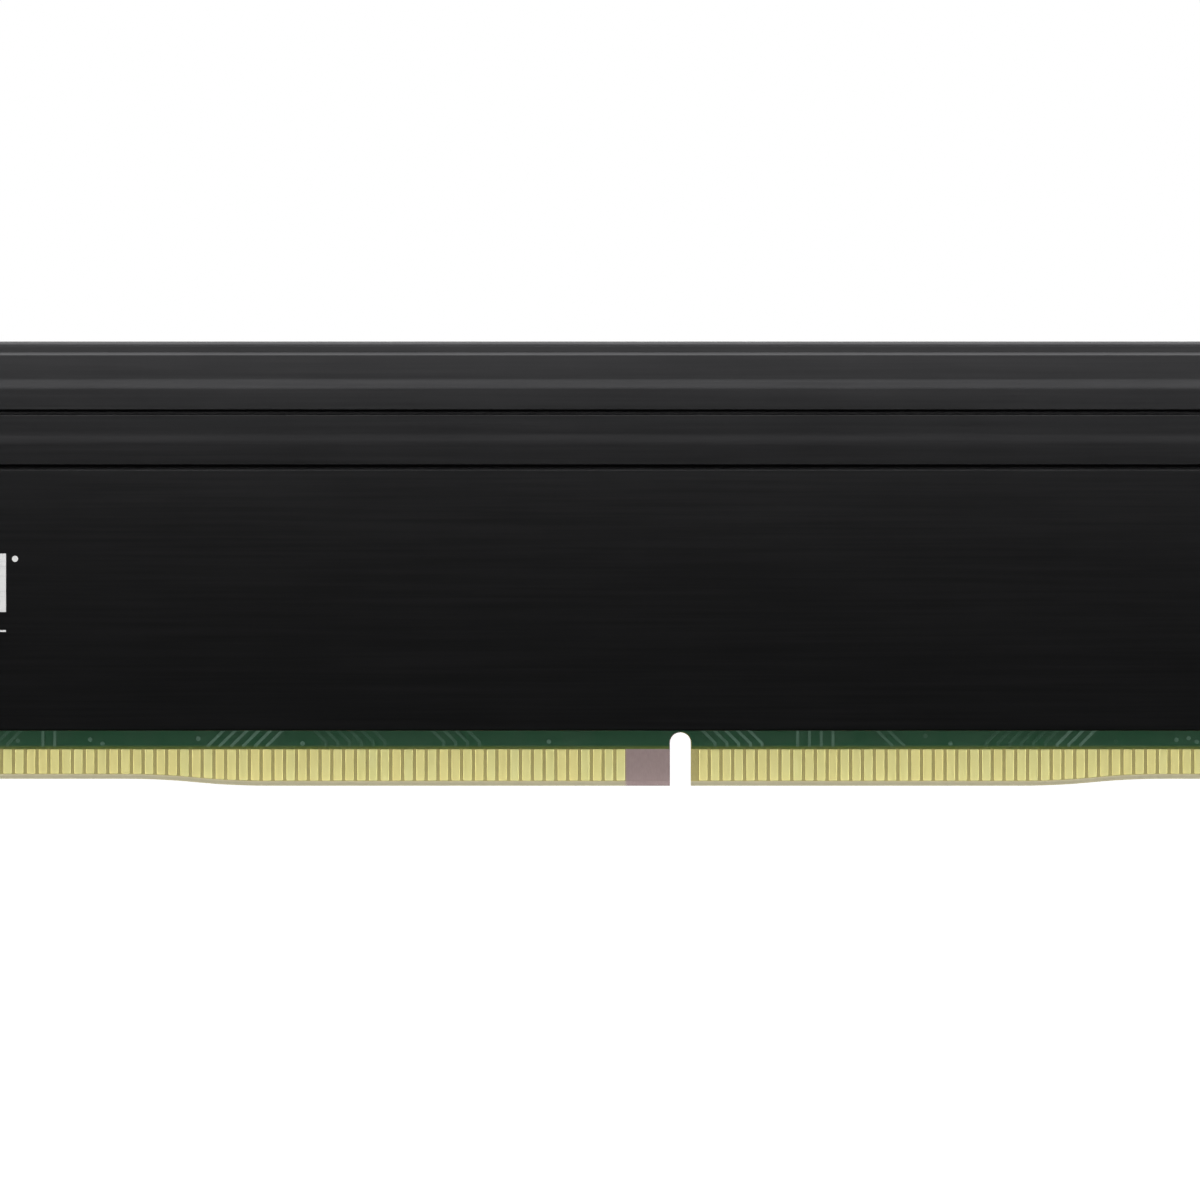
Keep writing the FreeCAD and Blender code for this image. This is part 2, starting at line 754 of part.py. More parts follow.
def make_side(place, rear):
    """Everything that the front and the rear of the board both have."""
    make_contacts(f"contacts_{place}_long_row", CONTACT_1, "long_row_count", rear)
    make_contacts(f"contacts_{place}_short_row", CONTACT_78, "short_row_count", rear)
    make_spreader(f"heat_spreader_{place}", rear)
    make_thermal_pad(f"thermal_pad_{place}", rear)
    for number, centre in enumerate(chip_centres(), start=1):
        make_chip(f"memory_chip_{place}_{number}", centre, rear)
    make_substrates(f"chip_substrates_{place}", rear)
    make_balls(f"solder_balls_{place}", rear)
    make_data_resistors(f"data_resistors_{place}", rear)
    make_decoupling_capacitors(f"decoupling_capacitors_{place}", rear)
    make_calibration_resistors(f"calibration_resistors_{place}", rear)


def check_document():
    for item in doc.Objects:
        if {"Invalid", "Error"} & set(item.State):
            raise RuntimeError(f"{item.Label} failed: {item.State}")
    for body in bodies:
        if body.Shape.isNull() or not body.Shape.isValid():
            raise RuntimeError(f"{body.Label} has no valid shape")


make_board()
make_side("front", rear=False)
make_side("rear", rear=True)
make_termination_resistors("termination_resistors")
make_supply_capacitors("supply_capacitors")
make_eeprom("spd_eeprom")
make_emblem("front_emblem")
make_label("rear_label")
doc.recompute()
check_document()

os.makedirs(OUT, exist_ok=True)
for body in bodies:
    body.Shape.exportStep(os.path.join(OUT, f"{body.Label}.step"))
    print(f"{body.Label}: {len(body.Shape.Solids)} solids, {body.Shape.Volume:.2f} mm3")
print(f"{len(bodies)} sub-parts")
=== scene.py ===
"""Looks of a desktop memory module: a green board with gold contacts between two brushed heat spreaders.

Shapes are worked out in millimetres in the frame's axes (+X along the board, -Y out of its front,
+Z up) and become metres when a piece is made.
"""

import json
import math
import random

import bmesh
import bpy
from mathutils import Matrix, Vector
from mathutils.geometry import delaunay_2d_cdt


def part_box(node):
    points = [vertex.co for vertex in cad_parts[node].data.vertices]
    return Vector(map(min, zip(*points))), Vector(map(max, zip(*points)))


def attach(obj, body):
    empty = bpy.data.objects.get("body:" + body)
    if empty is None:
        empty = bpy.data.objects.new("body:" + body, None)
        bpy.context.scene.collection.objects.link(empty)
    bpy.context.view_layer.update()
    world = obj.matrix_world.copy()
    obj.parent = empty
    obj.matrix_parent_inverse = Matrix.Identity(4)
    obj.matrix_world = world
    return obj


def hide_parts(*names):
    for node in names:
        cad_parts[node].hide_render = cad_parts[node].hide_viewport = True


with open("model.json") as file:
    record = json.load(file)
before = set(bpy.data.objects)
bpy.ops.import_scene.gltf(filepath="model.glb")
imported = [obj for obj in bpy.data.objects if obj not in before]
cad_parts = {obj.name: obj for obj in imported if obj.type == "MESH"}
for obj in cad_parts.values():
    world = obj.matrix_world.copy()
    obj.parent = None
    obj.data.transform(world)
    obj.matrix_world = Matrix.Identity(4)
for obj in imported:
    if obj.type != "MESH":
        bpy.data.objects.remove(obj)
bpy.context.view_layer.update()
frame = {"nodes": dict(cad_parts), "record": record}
random.seed(288)

MM = 0.001
BODY = "root"


def span(node):
    """A CAD node's lowest and highest corner, in millimetres."""
    return [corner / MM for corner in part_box(node)]


# ---- Sizes ---------------------------------------------------------------------------------------

MOUNTS = {mount["name"]: Vector(mount["pos_m"]) / MM for mount in frame["record"]["mounts"]}

BOARD = span("pcb")
HALF = BOARD[1].x
FACE = BOARD[1].y
CORNER_CHAMFER = 1.25
BEVEL_HEIGHT = 0.34
BEVEL_DEPTH = 0.20
END_STEP = 0.50
SLOPE = 10.20
LOW_EDGE_LEFT = 25.50
LOW_EDGE_RIGHT = 22.95
KEY_WIDTH = 1.50
LATCH_HEIGHT = 3.00
LATCH_RADIUS = 0.75
BOARD_CORNER = 0.25

LONG_ROW = span("contacts_front_long_row")
SHORT_ROW = span("contacts_front_short_row")
CONTACT_PITCH = 0.85
CONTACT_WIDTH = 0.60
CONTACT_GAP = 0.38
CONTACT_CORNER = 0.07
CONTACT_RIM = 0.04

MASK = 0.02
MASK_PULLBACK = 0.10
MASK_CORNER = 0.20
MASK_FOOT_CORNER = 0.05
MASK_ABOVE_CONTACTS = 0.01

TRACE_RISE = 0.012
TRACE_WIDTH = 0.21
TRACE_TOP = 4.30
TRACE_ABOVE_CONTACTS = 0.10
TRACE_STUBS = (0.12, 0.45)
TRACE_TONES = (0.62, 0.95)
GROUP_SIZES = (2, 3, 4, 6)
PLAIN_SHARE = 0.4
KEY_CLEARANCE = 2.2
VIA_RADIUS = 0.16
VIA_SHARE = 0.4
VIA_LIFTS = (0.05, 0.70)
VIA_STRAY = 0.15

SPREADER = span("heat_spreader_front")
RIB = -SPREADER[0].y
WALL = RIB - 0.13
LOWER_RIB = WALL + 0.04
INSIDE = WALL - 0.80
FOOT = SPREADER[0].z
TOP = SPREADER[1].z
SHOULDER = 0.20
SHOULDER_LEVEL = TOP - 0.80
FOLD_RADIUS = 0.40
INNER_FOLD_RADIUS = 0.30
FOOT_ROUND = 0.12
LIP_LEVEL = TOP - 0.70
SEAM = 0.10
LOWER_GROOVE = FOOT + 18.95
UPPER_GROOVE = FOOT + 22.90
GROOVE_HALF = 0.19
GROOVE_FLOOR_HALF = 0.10
GROOVE_FLOOR_ROUND = 0.04
GROOVE_DEPTH = 0.40
LOWER_RIB_CROWN = 1.75
LOWER_RIB_RUN = 0.60
LOWER_RIB_BEND = 6.0
UPPER_RIB_CROWN = 1.80
UPPER_RIB_RUN = 0.48
UPPER_RIB_BEND = 1.3
LOW_HALF = 61.20
STEP_LOW = 17.40
STEP_HIGH = 22.00
SPREADER_CORNER = 1.00
EDGE_ROUND = 0.045
SPREADER_RIM = 0.04

LABEL_BORDER = 1.2
LABEL_LINE = 0.25
LABEL_INDENT = 2
LABEL_LINE_CORNER = 0.04
LABEL_INK_SINK = 0.010
LABEL_INK_RISE = 0.012
LABEL_INK_RIM = 0.005

ARC_STEPS = 6
RIM_STEPS = 3
SAME_PLACE = 1e-5
UPRIGHT = 1e-6
NEAR = 1e-3


# ---- Outlines ------------------------------------------------------------------------------------


def rounded(corners, steps=ARC_STEPS):
    """A closed outline, anticlockwise, as (place, outward normal) pairs.

    A corner is (across, up, radius).  One of no radius stays a single point."""
    places = [Vector(corner[:2]) for corner in corners]
    outline = []
    for i, corner in enumerate(corners):
        place, radius = places[i], corner[2]
        before = (place - places[i - 1]).normalized()
        after = (places[(i + 1) % len(places)] - place).normalized()
        turn = math.atan2(before.cross(after), before.dot(after))
        normal = Vector((before.y, -before.x))
        if radius == 0:
            outline.append((place, turned(normal, turn / 2)))
            continue
        side = math.copysign(1, turn)
        start = place - before * radius * math.tan(abs(turn) / 2)
        centre = start - side * radius * normal
        for k in range(steps + 1):
            out = turned(normal, turn * k / steps)
            outline.append((centre + side * radius * out, out))
    return [spot for i, spot in enumerate(outline) if (spot[0] - outline[i - 1][0]).length > SAME_PLACE]


def turned(vector, angle):
    """A flat vector turned to the left."""
    c, s = math.cos(angle), math.sin(angle)
    return Vector((c * vector.x - s * vector.y, s * vector.x + c * vector.y))


def with_levels(outline, levels):
    """The outline with more points where its long upright stretches pass the levels."""
    filled = []
    for (place, normal), (beyond, _) in zip(outline, outline[1:] + outline[:1]):
        filled.append((place, normal))
        if abs(beyond.x - place.x) > UPRIGHT:
            continue
        low, high = sorted((place.y, beyond.y))
        passed = [level for level in levels if low + NEAR < level < high - NEAR]
        for level in sorted(passed, reverse=beyond.y < place.y):
            filled.append((Vector((place.x, level)), normal))
    return filled


def box_corners(left, low, right, high, radius):
    return [(left, low, radius), (right, low, radius), (right, high, radius), (left, high, radius)]


def disc(across, up, radius):
    """A round outline."""
    return rounded(box_corners(across - radius, up - radius, across + radius, up + radius, radius), 4)


# ---- Solids --------------------------------------------------------------------------------------


def front(across, up, out):
    """A place in front of the board: across it, up it, and out from its mid-plane."""
    return Vector((across, -out, up))


def rear(across, up, out):
    """The place behind the board that mirrors the one in front."""
    return Vector((across, out, up))


def front_section(out, up, along):
    return front(along, up, out)


def rear_section(out, up, along):
    return rear(along, up, out)


class Shape:
    """Closed solids that become one mesh."""

    def __init__(self):
        self.points = []
        self.normals = []
        self.tones = []
        self.faces = []

    def ring(self, points, normals, tone):
        """Adds a ring of points and gives its first index."""
        first = len(self.points)
        self.points += points
        self.normals += normals
        self.tones += [tone] * len(points)
        return first

    def bridge(self, first, second, count):
        for i in range(count):
            after = (i + 1) % count
            self.faces.append((first + i, first + after, second + after, second + i))

    def cap(self, first, flat_points):
        """Closes a ring, given its points as they lie in a plane."""
        count = len(flat_points)
        made = delaunay_2d_cdt(flat_points, [], [list(range(count))], 1, 1e-7)
        origins = made[3]
        for face in made[2]:
            self.faces.append(tuple(first + origins[corner][0] for corner in face))

    def sweep(self, outline, stand, ends, rim, tone=0.5):
        """Carries an outline along its axis, with a rounded rim at each end.

        stand(across, up, along) gives a place in space, and ends(up) where the solid stops each way."""
        axis = stand(0, 0, 1)
        rings = []
        for side in (-1, 1):
            for k in range(RIM_STEPS + 1):
                step = k if side > 0 else RIM_STEPS - k
                angle = math.pi / 2 * step / RIM_STEPS
                inset, back = rim * (1 - math.cos(angle)), rim * (1 - math.sin(angle))
                flat, points, normals = [], [], []
                for place, normal in outline:
                    across, up = place - inset * normal
                    end = ends(place.y)[side > 0]
                    lean = (ends(place.y + 0.01)[side > 0] - ends(place.y - 0.01)[side > 0]) / 0.02
                    outward = (side * (axis - lean * stand(0, 1, 0))).normalized()
                    flat.append(Vector((across, up)))
                    points.append(stand(across, up, end - side * back))
                    out = math.cos(angle) * stand(normal.x, normal.y, 0) + math.sin(angle) * outward
                    normals.append(out.normalized())
                rings.append((self.ring(points, normals, tone), flat))
        for (first, _), (second, _) in zip(rings, rings[1:]):
            self.bridge(first, second, len(outline))
        self.cap(*rings[0])
        self.cap(*rings[-1])

    def plate(self, outline, stand, back, face, rim, tone=0.5):
        """A flat piece between two distances out from the board's mid-plane."""
        self.sweep(outline, stand, lambda up: (back, face), rim, tone)

    def piece(self, name, material, exact=True):
        """Makes the mesh, in metres, and has it ride on the module."""
        work = bmesh.new()
        vertices = [work.verts.new(point * MM) for point in self.points]
        for face in self.faces:
            work.faces.new([vertices[i] for i in face])
        bmesh.ops.recalc_face_normals(work, faces=work.faces)
        mesh = bpy.data.meshes.new(name)
        work.to_mesh(mesh)
        work.free()
        mesh.polygons.foreach_set("use_smooth", [True] * len(mesh.polygons))
        mesh.attributes.new("tone", "FLOAT", "POINT").data.foreach_set("value", self.tones)
        if exact:
            mesh.normals_split_custom_set_from_vertices(self.normals)
        else:
            mesh.set_sharp_from_angle(angle=math.radians(25))
        mesh.materials.append(material)
        made = bpy.data.objects.new(name, mesh)
        bpy.context.scene.collection.objects.link(made)
        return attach(made, BODY)


# ---- Materials -----------------------------------------------------------------------------------


class Finish:
    """A Principled material, built a node at a time."""

    def __init__(self, name, **constants):
        self.material = bpy.data.materials.new(name)
        self.material.use_nodes = True
        self.tree = self.material.node_tree
        self.shader = self.tree.nodes["Principled BSDF"]
        for socket, number in constants.items():
            self.shader.inputs[socket.replace("_", " ")].default_value = number

    def node(self, kind, inputs=(), **settings):
        """Adds a node; inputs are (socket, number or output) pairs."""
        node = self.tree.nodes.new(kind)
        for name, value in settings.items():
            setattr(node, name, value)
        for socket, value in inputs:
            self.feed(node.inputs[socket], value)
        return node

    def feed(self, socket, value):
        if isinstance(value, bpy.types.NodeSocket):
            self.tree.links.new(value, socket)
        else:
            socket.default_value = value

    def put(self, socket, value):
        self.feed(self.shader.inputs[socket], value)

    def spot(self, *per_mm):
        """The place on the object, with each axis scaled to so many units a millimetre."""
        place = self.node("ShaderNodeTexCoord").outputs["Object"]
        scale = [number / MM for number in per_mm]
        scaled = self.node("ShaderNodeVectorMath", [(0, place), (1, scale)], operation="MULTIPLY")
        return scaled.outputs[0]

    def noise(self, *per_mm, detail=3.0, rough=0.5):
        """Noise from 0 to 1 with about so many features a millimetre along each axis."""
        inputs = [("Vector", self.spot(*per_mm)), ("Scale", 1.0)]
        inputs += [("Detail", detail), ("Roughness", rough)]
        return self.node("ShaderNodeTexNoise", inputs).outputs["Fac"]

    def axis(self, name):
        """One coordinate of the place, in millimetres."""
        return self.node("ShaderNodeSeparateXYZ", [(0, self.spot(1, 1, 1))]).outputs[name]

    def tone(self):
        """The number from 0 to 1 that a shape keeps at each of its points."""
        return self.node("ShaderNodeAttribute", attribute_name="tone").outputs["Fac"]

    def maths(self, operation, first, second=0.0):
        return self.node("ShaderNodeMath", [(0, first), (1, second)], operation=operation).outputs[0]

    def ramp(self, value, low, high, to_low=0.0, to_high=1.0):
        """Value taken from low..high to to_low..to_high, and held there."""
        numbers = [(0, value), (1, low), (2, high), (3, to_low), (4, to_high)]
        return self.node("ShaderNodeMapRange", numbers, interpolation_type="SMOOTHSTEP").outputs[0]

    def blend(self, factor, first, second):
        """A colour between two."""
        colours = [(0, factor), (6, colour(first)), (7, colour(second))]
        return self.node("ShaderNodeMix", colours, data_type="RGBA").outputs[2]

    def bump(self, height, depth, strength=1.0):
        """Feeds the shader's normal from a height of so many millimetres."""
        inputs = [("Height", height), ("Distance", depth * MM), ("Strength", strength)]
        self.put("Normal", self.node("ShaderNodeBump", inputs).outputs[0])


def colour(value):
    """A colour socket's value: an output, or linear red, green and blue."""
    return value if isinstance(value, bpy.types.NodeSocket) else (*value, 1.0)


def anodised_aluminium():
    """Dark grey anodising over a grain brushed along the module."""
    brushed = {"Anisotropic": 0.6, "Anisotropic_Rotation": 0.25}
    finish = Finish("anodised_aluminium", Metallic=0.97, IOR=1.5, **brushed)
    streaks = finish.noise(0.05, 3.2, 3.2, detail=5.0, rough=0.6)
    hairlines = finish.noise(0.5, 28.0, 28.0, detail=2.0)
    clouds = finish.noise(0.12, 0.3, 0.3)
    most, rest = finish.maths("MULTIPLY", streaks, 0.7), finish.maths("MULTIPLY", clouds, 0.3)
    mixed = finish.ramp(finish.maths("ADD", most, rest), 0.3, 0.7)
    finish.put("Base Color", finish.blend(mixed, (0.025, 0.025, 0.026), (0.032, 0.032, 0.033)))
    finish.put("Roughness", finish.ramp(streaks, 0.25, 0.75, 0.345, 0.375))
    along = finish.node("ShaderNodeCombineXYZ", [("X", 1.0), ("Z", 0.02)])
    finish.put("Tangent", along.outputs[0])
    finish.bump(hairlines, 0.0015, 0.6)
    return finish.material


def solder_mask():
    """Glossy green lacquer, lighter over copper, with a thin olive line just above the contacts."""
    finish = Finish("solder_mask", IOR=1.5, Coat_Weight=0.3, Coat_Roughness=0.2)
    clouds = finish.noise(0.8, 0.8, 0.8, detail=4.0)
    ground = finish.blend(clouds, (0.007, 0.042, 0.018), (0.014, 0.057, 0.025))
    raised = finish.blend(finish.ramp(finish.tone(), 0.5, 1.0), ground, (0.052, 0.105, 0.072))
    level = finish.axis("Z")
    edge = LONG_ROW[1].z
    olive = finish.ramp(level, edge + 0.08, edge + 0.32, 1.0, 0.0)
    finish.put("Base Color", finish.blend(olive, raised, (0.060, 0.085, 0.012)))
    finish.put("Roughness", finish.ramp(clouds, 0.2, 0.8, 0.30, 0.42))
    finish.bump(finish.noise(4.0, 4.0, 4.0), 0.004, 0.5)
    return finish.material


def laminate():
    """Glass-epoxy laminate: a woven olive face and a layered edge, both mauve left of the key notch."""
    finish = Finish("laminate", IOR=1.5, Roughness=0.6)
    threads = finish.spot(2.2, 2.2, 2.2)
    weave = finish.node("ShaderNodeTexChecker", [("Vector", threads), ("Scale", 1.0)])
    fibres = finish.noise(9.0, 9.0, 2.5, detail=4.0)
    across = finish.axis("X")
    key = MOUNTS["key_notch"].x
    past_long = finish.ramp(across, LONG_ROW[1].x - 0.05, LONG_ROW[1].x + 0.15)
    before_key = finish.ramp(across, key - 0.1, key + 0.1, 1.0, 0.0)
    by_key = finish.maths("MULTIPLY", past_long, before_key)
    olive = finish.blend(fibres, (0.22, 0.19, 0.058), (0.29, 0.25, 0.082))
    mauve = finish.blend(fibres, (0.16, 0.112, 0.108), (0.21, 0.156, 0.15))
    face = finish.blend(by_key, olive, mauve)
    woven = finish.blend(finish.maths("MULTIPLY", weave.outputs["Fac"], 0.05), face, (0.12, 0.10, 0.07))
    plies = [("Vector", finish.spot(1, 1, 1)), ("Scale", 1.6), ("Distortion", 0.4)]
    layers = finish.node("ShaderNodeTexWave", plies, bands_direction="Y")
    layered = finish.blend(layers.outputs["Fac"], (0.225, 0.205, 0.125), (0.29, 0.265, 0.165))
    edge = finish.blend(by_key, layered, mauve)
    normal = finish.node("ShaderNodeNewGeometry").outputs["True Normal"]
    facing = finish.node("ShaderNodeSeparateXYZ", [(0, normal)]).outputs["Y"]
    on_face = finish.ramp(finish.maths("ABSOLUTE", facing), 0.95, 0.99)
    finish.put("Base Color", finish.blend(on_face, edge, woven))
    finish.bump(fibres, 0.01, 0.5)
    return finish.material


def gold_contact():
    """Hard gold plate, with each contact a little different and fine upright marks from a socket."""
    finish = Finish("gold_contact", Metallic=0.55, IOR=1.5)
    marks = finish.noise(26.0, 26.0, 0.5, detail=3.0)
    patches = finish.noise(0.9, 0.9, 0.5, detail=2.0)
    paler = finish.blend(patches, (0.79, 0.74, 0.27), (0.86, 0.83, 0.40))
    finish.put("Base Color", finish.blend(finish.tone(), paler, (0.86, 0.77, 0.31)))
    finish.put("Roughness", finish.ramp(marks, 0.2, 0.8, 0.38, 0.52))
    finish.bump(marks, 0.002, 0.5)
    return finish.material


def black_mould():
    """Satin epoxy with fine filler."""
    finish = Finish("black_mould", IOR=1.5)
    filler = finish.noise(14.0, 14.0, 14.0, detail=4.0)
    clouds = finish.noise(0.5, 0.5, 0.5)
    finish.put("Base Color", finish.blend(clouds, (0.012, 0.012, 0.013), (0.026, 0.026, 0.028)))
    finish.put("Roughness", finish.ramp(filler, 0.2, 0.8, 0.48, 0.66))
    finish.bump(filler, 0.008, 0.6)
    return finish.material


def chip_laminate():
    """The thin green laminate under each chip, with its layers showing at its edge."""
    finish = Finish("chip_laminate", IOR=1.5)
    layers = finish.noise(0.6, 22.0, 0.6, detail=2.0)
    finish.put("Base Color", finish.blend(layers, (0.045, 0.095, 0.040), (0.11, 0.17, 0.075)))
    finish.put("Roughness", finish.ramp(layers, 0.2, 0.8, 0.4, 0.6))
    finish.bump(layers, 0.004, 0.5)
    return finish.material


def solder():
    """Reflowed tin alloy, with dull patches."""
    finish = Finish("solder", Metallic=1.0)
    patches = finish.noise(7.0, 7.0, 7.0, detail=3.0)
    finish.put("Base Color", finish.blend(patches, (0.48, 0.48, 0.49), (0.68, 0.68, 0.69)))
    finish.put("Roughness", finish.ramp(patches, 0.2, 0.8, 0.22, 0.46))
    finish.bump(patches, 0.006, 0.4)
    return finish.material


def tinned_metal():
    """Satin tin plate on the ends of the small components."""
    finish = Finish("tinned_metal", Metallic=1.0)
    grain = finish.noise(16.0, 16.0, 16.0, detail=3.0)
    finish.put("Base Color", finish.blend(grain, (0.52, 0.52, 0.52), (0.70, 0.70, 0.69)))
    finish.put("Roughness", finish.ramp(grain, 0.2, 0.8, 0.28, 0.5))
    finish.bump(grain, 0.004, 0.5)
    return finish.material


def resistor_body():
    """Black glaze, slightly uneven."""
    finish = Finish("resistor_body", IOR=1.5, Coat_Weight=0.4, Coat_Roughness=0.15)
    glaze = finish.noise(5.0, 5.0, 5.0)
    finish.put("Base Color", finish.blend(glaze, (0.010, 0.010, 0.012), (0.030, 0.030, 0.034)))
    finish.put("Roughness", finish.ramp(glaze, 0.2, 0.8, 0.25, 0.4))
    finish.bump(glaze, 0.004, 0.4)
    return finish.material


def capacitor_ceramic():
    """Fired tan ceramic with darker specks."""
    finish = Finish("capacitor_ceramic", IOR=1.6)
    specks = finish.noise(18.0, 18.0, 18.0, detail=4.0)
    clouds = finish.noise(1.5, 1.5, 1.5)
    tan = finish.blend(clouds, (0.30, 0.20, 0.12), (0.44, 0.31, 0.20))
    speckled = finish.ramp(specks, 0.6, 0.75, 0.0, 0.5)
    finish.put("Base Color", finish.blend(speckled, tan, (0.16, 0.10, 0.06)))
    finish.put("Roughness", finish.ramp(specks, 0.2, 0.8, 0.45, 0.65))
    finish.bump(specks, 0.005, 0.5)
    return finish.material


def thermal_pad():
    """Soft grey silicone with a slightly pebbled face."""
    finish = Finish("thermal_pad", IOR=1.42)
    pebbles = finish.noise(2.4, 2.4, 2.4, detail=4.0)
    finish.put("Base Color", finish.blend(pebbles, (0.30, 0.32, 0.35), (0.42, 0.44, 0.47)))
    finish.put("Roughness", finish.ramp(pebbles, 0.2, 0.8, 0.62, 0.8))
    finish.bump(pebbles, 0.03, 0.6)
    return finish.material


def label_film():
    """Plain silver-white film, with a faint tooth."""
    finish = Finish("label_film", IOR=1.5)
    tooth = finish.noise(6.0, 6.0, 6.0, detail=4.0)
    clouds = finish.noise(0.15, 0.15, 0.15)
    finish.put("Base Color", finish.blend(clouds, (0.34, 0.34, 0.335), (0.42, 0.42, 0.41)))
    finish.put("Roughness", finish.ramp(tooth, 0.2, 0.8, 0.35, 0.5))
    finish.bump(tooth, 0.003, 0.5)
    return finish.material


def ink(name, thin, thick):
    """Printed ink: a dense body with pinholes where the grain shows through."""
    finish = Finish(name, IOR=1.5)
    grain = finish.noise(0.8, 9.0, 9.0, detail=4.0)
    finish.put("Base Color", finish.blend(finish.ramp(grain, 0.25, 0.5), thin, thick))
    finish.put("Roughness", finish.ramp(grain, 0.2, 0.8, 0.5, 0.65))
    finish.bump(grain, 0.004, 0.5)
    return finish.material


# ---- Heat spreader -------------------------------------------------------------------------------


def spreader_section():
    """The section of one half, in (out, up): the foot, up the outside past two grooves and ribs, over
    the shoulder and the fold, along the lip to the seam, and down the inside."""
    floor = WALL - GROOVE_DEPTH
    outside = [(WALL, FOOT, FOOT_ROUND)]
    ribs = (
        (LOWER_GROOVE, LOWER_RIB, LOWER_RIB_CROWN, LOWER_RIB_RUN, LOWER_RIB_BEND),
        (UPPER_GROOVE, RIB, UPPER_RIB_CROWN, UPPER_RIB_RUN, UPPER_RIB_BEND),
    )
    for groove, rib, crown, run, bend in ribs:
        outside += [
            (WALL, groove - GROOVE_HALF, EDGE_ROUND),
            (floor, groove - GROOVE_FLOOR_HALF, GROOVE_FLOOR_ROUND),
            (floor, groove + GROOVE_FLOOR_HALF, GROOVE_FLOOR_ROUND),
            (rib, groove + GROOVE_HALF, EDGE_ROUND),
            (rib, groove + crown, bend),
            (WALL, groove + crown + run, bend),
        ]
    over = [
        (WALL, SHOULDER_LEVEL - SHOULDER, EDGE_ROUND),
        (WALL - SHOULDER, SHOULDER_LEVEL, EDGE_ROUND),
        (WALL - SHOULDER, TOP, FOLD_RADIUS),
        (SEAM, TOP, EDGE_ROUND),
        (SEAM, LIP_LEVEL, EDGE_ROUND),
        (INSIDE, LIP_LEVEL, INNER_FOLD_RADIUS),
    ]
    return rounded([(INSIDE, FOOT, EDGE_ROUND)] + outside + over)


def spreader_end():
    """The outline of a half's right end, in (along, up), from the foot to the top."""
    corners = [
        (0, FOOT, 0),
        (LOW_HALF, FOOT, SPREADER_CORNER),
        (LOW_HALF, STEP_LOW, SPREADER_CORNER),
        (HALF, STEP_HIGH, SPREADER_CORNER),
        (HALF, TOP, 0),
        (0, TOP, 0),
    ]
    return [place for place, _ in rounded(corners, 8)][1:-1]


def reach(profile, up):
    """How far along the module a rising profile is at a level."""
    for low, high in zip(profile, profile[1:]):
        if up <= high.y:
            share = (up - low.y) / max(high.y - low.y, 1e-9)
            return low.x + (high.x - low.x) * min(max(share, 0), 1)
    return profile[-1].x


def make_spreader(place, stand, metal):
    """One half, its section carried along the module and cut back at both ends."""
    profile = spreader_end()
    section = with_levels(spreader_section(), [point.y for point in profile])

    def ends(up):
        half = reach(profile, up)
        return -half, half

    shape = Shape()
    shape.sweep(section, stand, ends, SPREADER_RIM)
    shell = shape.piece(f"spreader_shell_{place}", metal)
    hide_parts(f"heat_spreader_{place}")


# ---- Board ---------------------------------------------------------------------------------------


def edge_height(across):
    """How high the board's lower edge is at a place along it."""
    low_from = LONG_ROW[1].x - CONTACT_WIDTH / 2 - LOW_EDGE_LEFT
    low_to = SHORT_ROW[0].x + CONTACT_WIDTH / 2 + LOW_EDGE_RIGHT
    along = min(max(low_from - across, across - low_to, 0), SLOPE)
    radius = ((SLOPE / 2) ** 2 + (END_STEP / 2) ** 2) / END_STEP
    if along < SLOPE / 2:
        return radius - math.sqrt(radius**2 - along**2)
    return END_STEP - radius + math.sqrt(radius**2 - (SLOPE - along) ** 2)


def lower_edge(first, last, step=0.85):
    """Corners along the board's lower edge between two places."""
    count = round(abs(last - first) / step)
    places = [first + (last - first) * i / count for i in range(count + 1)]
    return [(across, edge_height(across), 0) for across in places]


def upper_corners(inset, corner):
    """Corners of the board above its contacts, with the latch notches, from right round to left."""
    side, crown = HALF - inset, BOARD[1].z - inset
    right = []
    for level in ("lower", "upper"):
        notch = MOUNTS[f"{level}_latch_notch_right"]
        low, high = notch.z - LATCH_HEIGHT / 2 - inset, notch.z + LATCH_HEIGHT / 2 + inset
        floor = notch.x - inset
        radius = LATCH_RADIUS + inset
        right += [(side, low, corner), (floor, low, radius)]
        right += [(floor, high, radius), (side, high, corner)]
    right.append((side, crown, corner))
    return right + [(-across, up, radius) for across, up, radius in reversed(right)]


def key_corners(inset, low):
    """Corners round the key notch, from left to right."""
    middle, half = MOUNTS["key_notch"].x, KEY_WIDTH / 2 + inset
    crown = MOUNTS["key_notch"].z + inset
    return [
        (middle - half, low, 0),
        (middle - half, crown, half),
        (middle + half, crown, half),
        (middle + half, low, 0),
    ]


def make_board(material):
    """The laminate, bevelled along its contact edge."""
    chamfered = HALF - CORNER_CHAMFER
    key = key_corners(0, 0)
    corners = [
        *lower_edge(-chamfered, key[0][0])[:-1],
        *key,
        *lower_edge(key[-1][0], chamfered)[1:],
        (HALF, END_STEP + CORNER_CHAMFER, 0),
        *upper_corners(0, BOARD_CORNER),
        (-HALF, END_STEP + CORNER_CHAMFER, 0),
    ]
    outline = [place for place, _ in rounded(corners)]
    face = FACE - MASK
    shape = Shape()
    rings = []
    for out in (-face, BEVEL_DEPTH - FACE, FACE - BEVEL_DEPTH, face):
        lift = BEVEL_HEIGHT if abs(out) == face else 0
        flat = []
        for place in outline:
            on_edge = place.y < edge_height(place.x) + NEAR and abs(place.x) <= chamfered
            flat.append(place + Vector((0, lift if on_edge else 0)))
        points = [front(place.x, place.y, out) for place in flat]
        rings.append((shape.ring(points, points, 0.5), flat))
    for (first, _), (second, _) in zip(rings, rings[1:]):
        shape.bridge(first, second, len(outline))
    shape.cap(*rings[0])
    shape.cap(*rings[-1])
    board = shape.piece("board_laminate", material, exact=False)
    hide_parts("pcb")


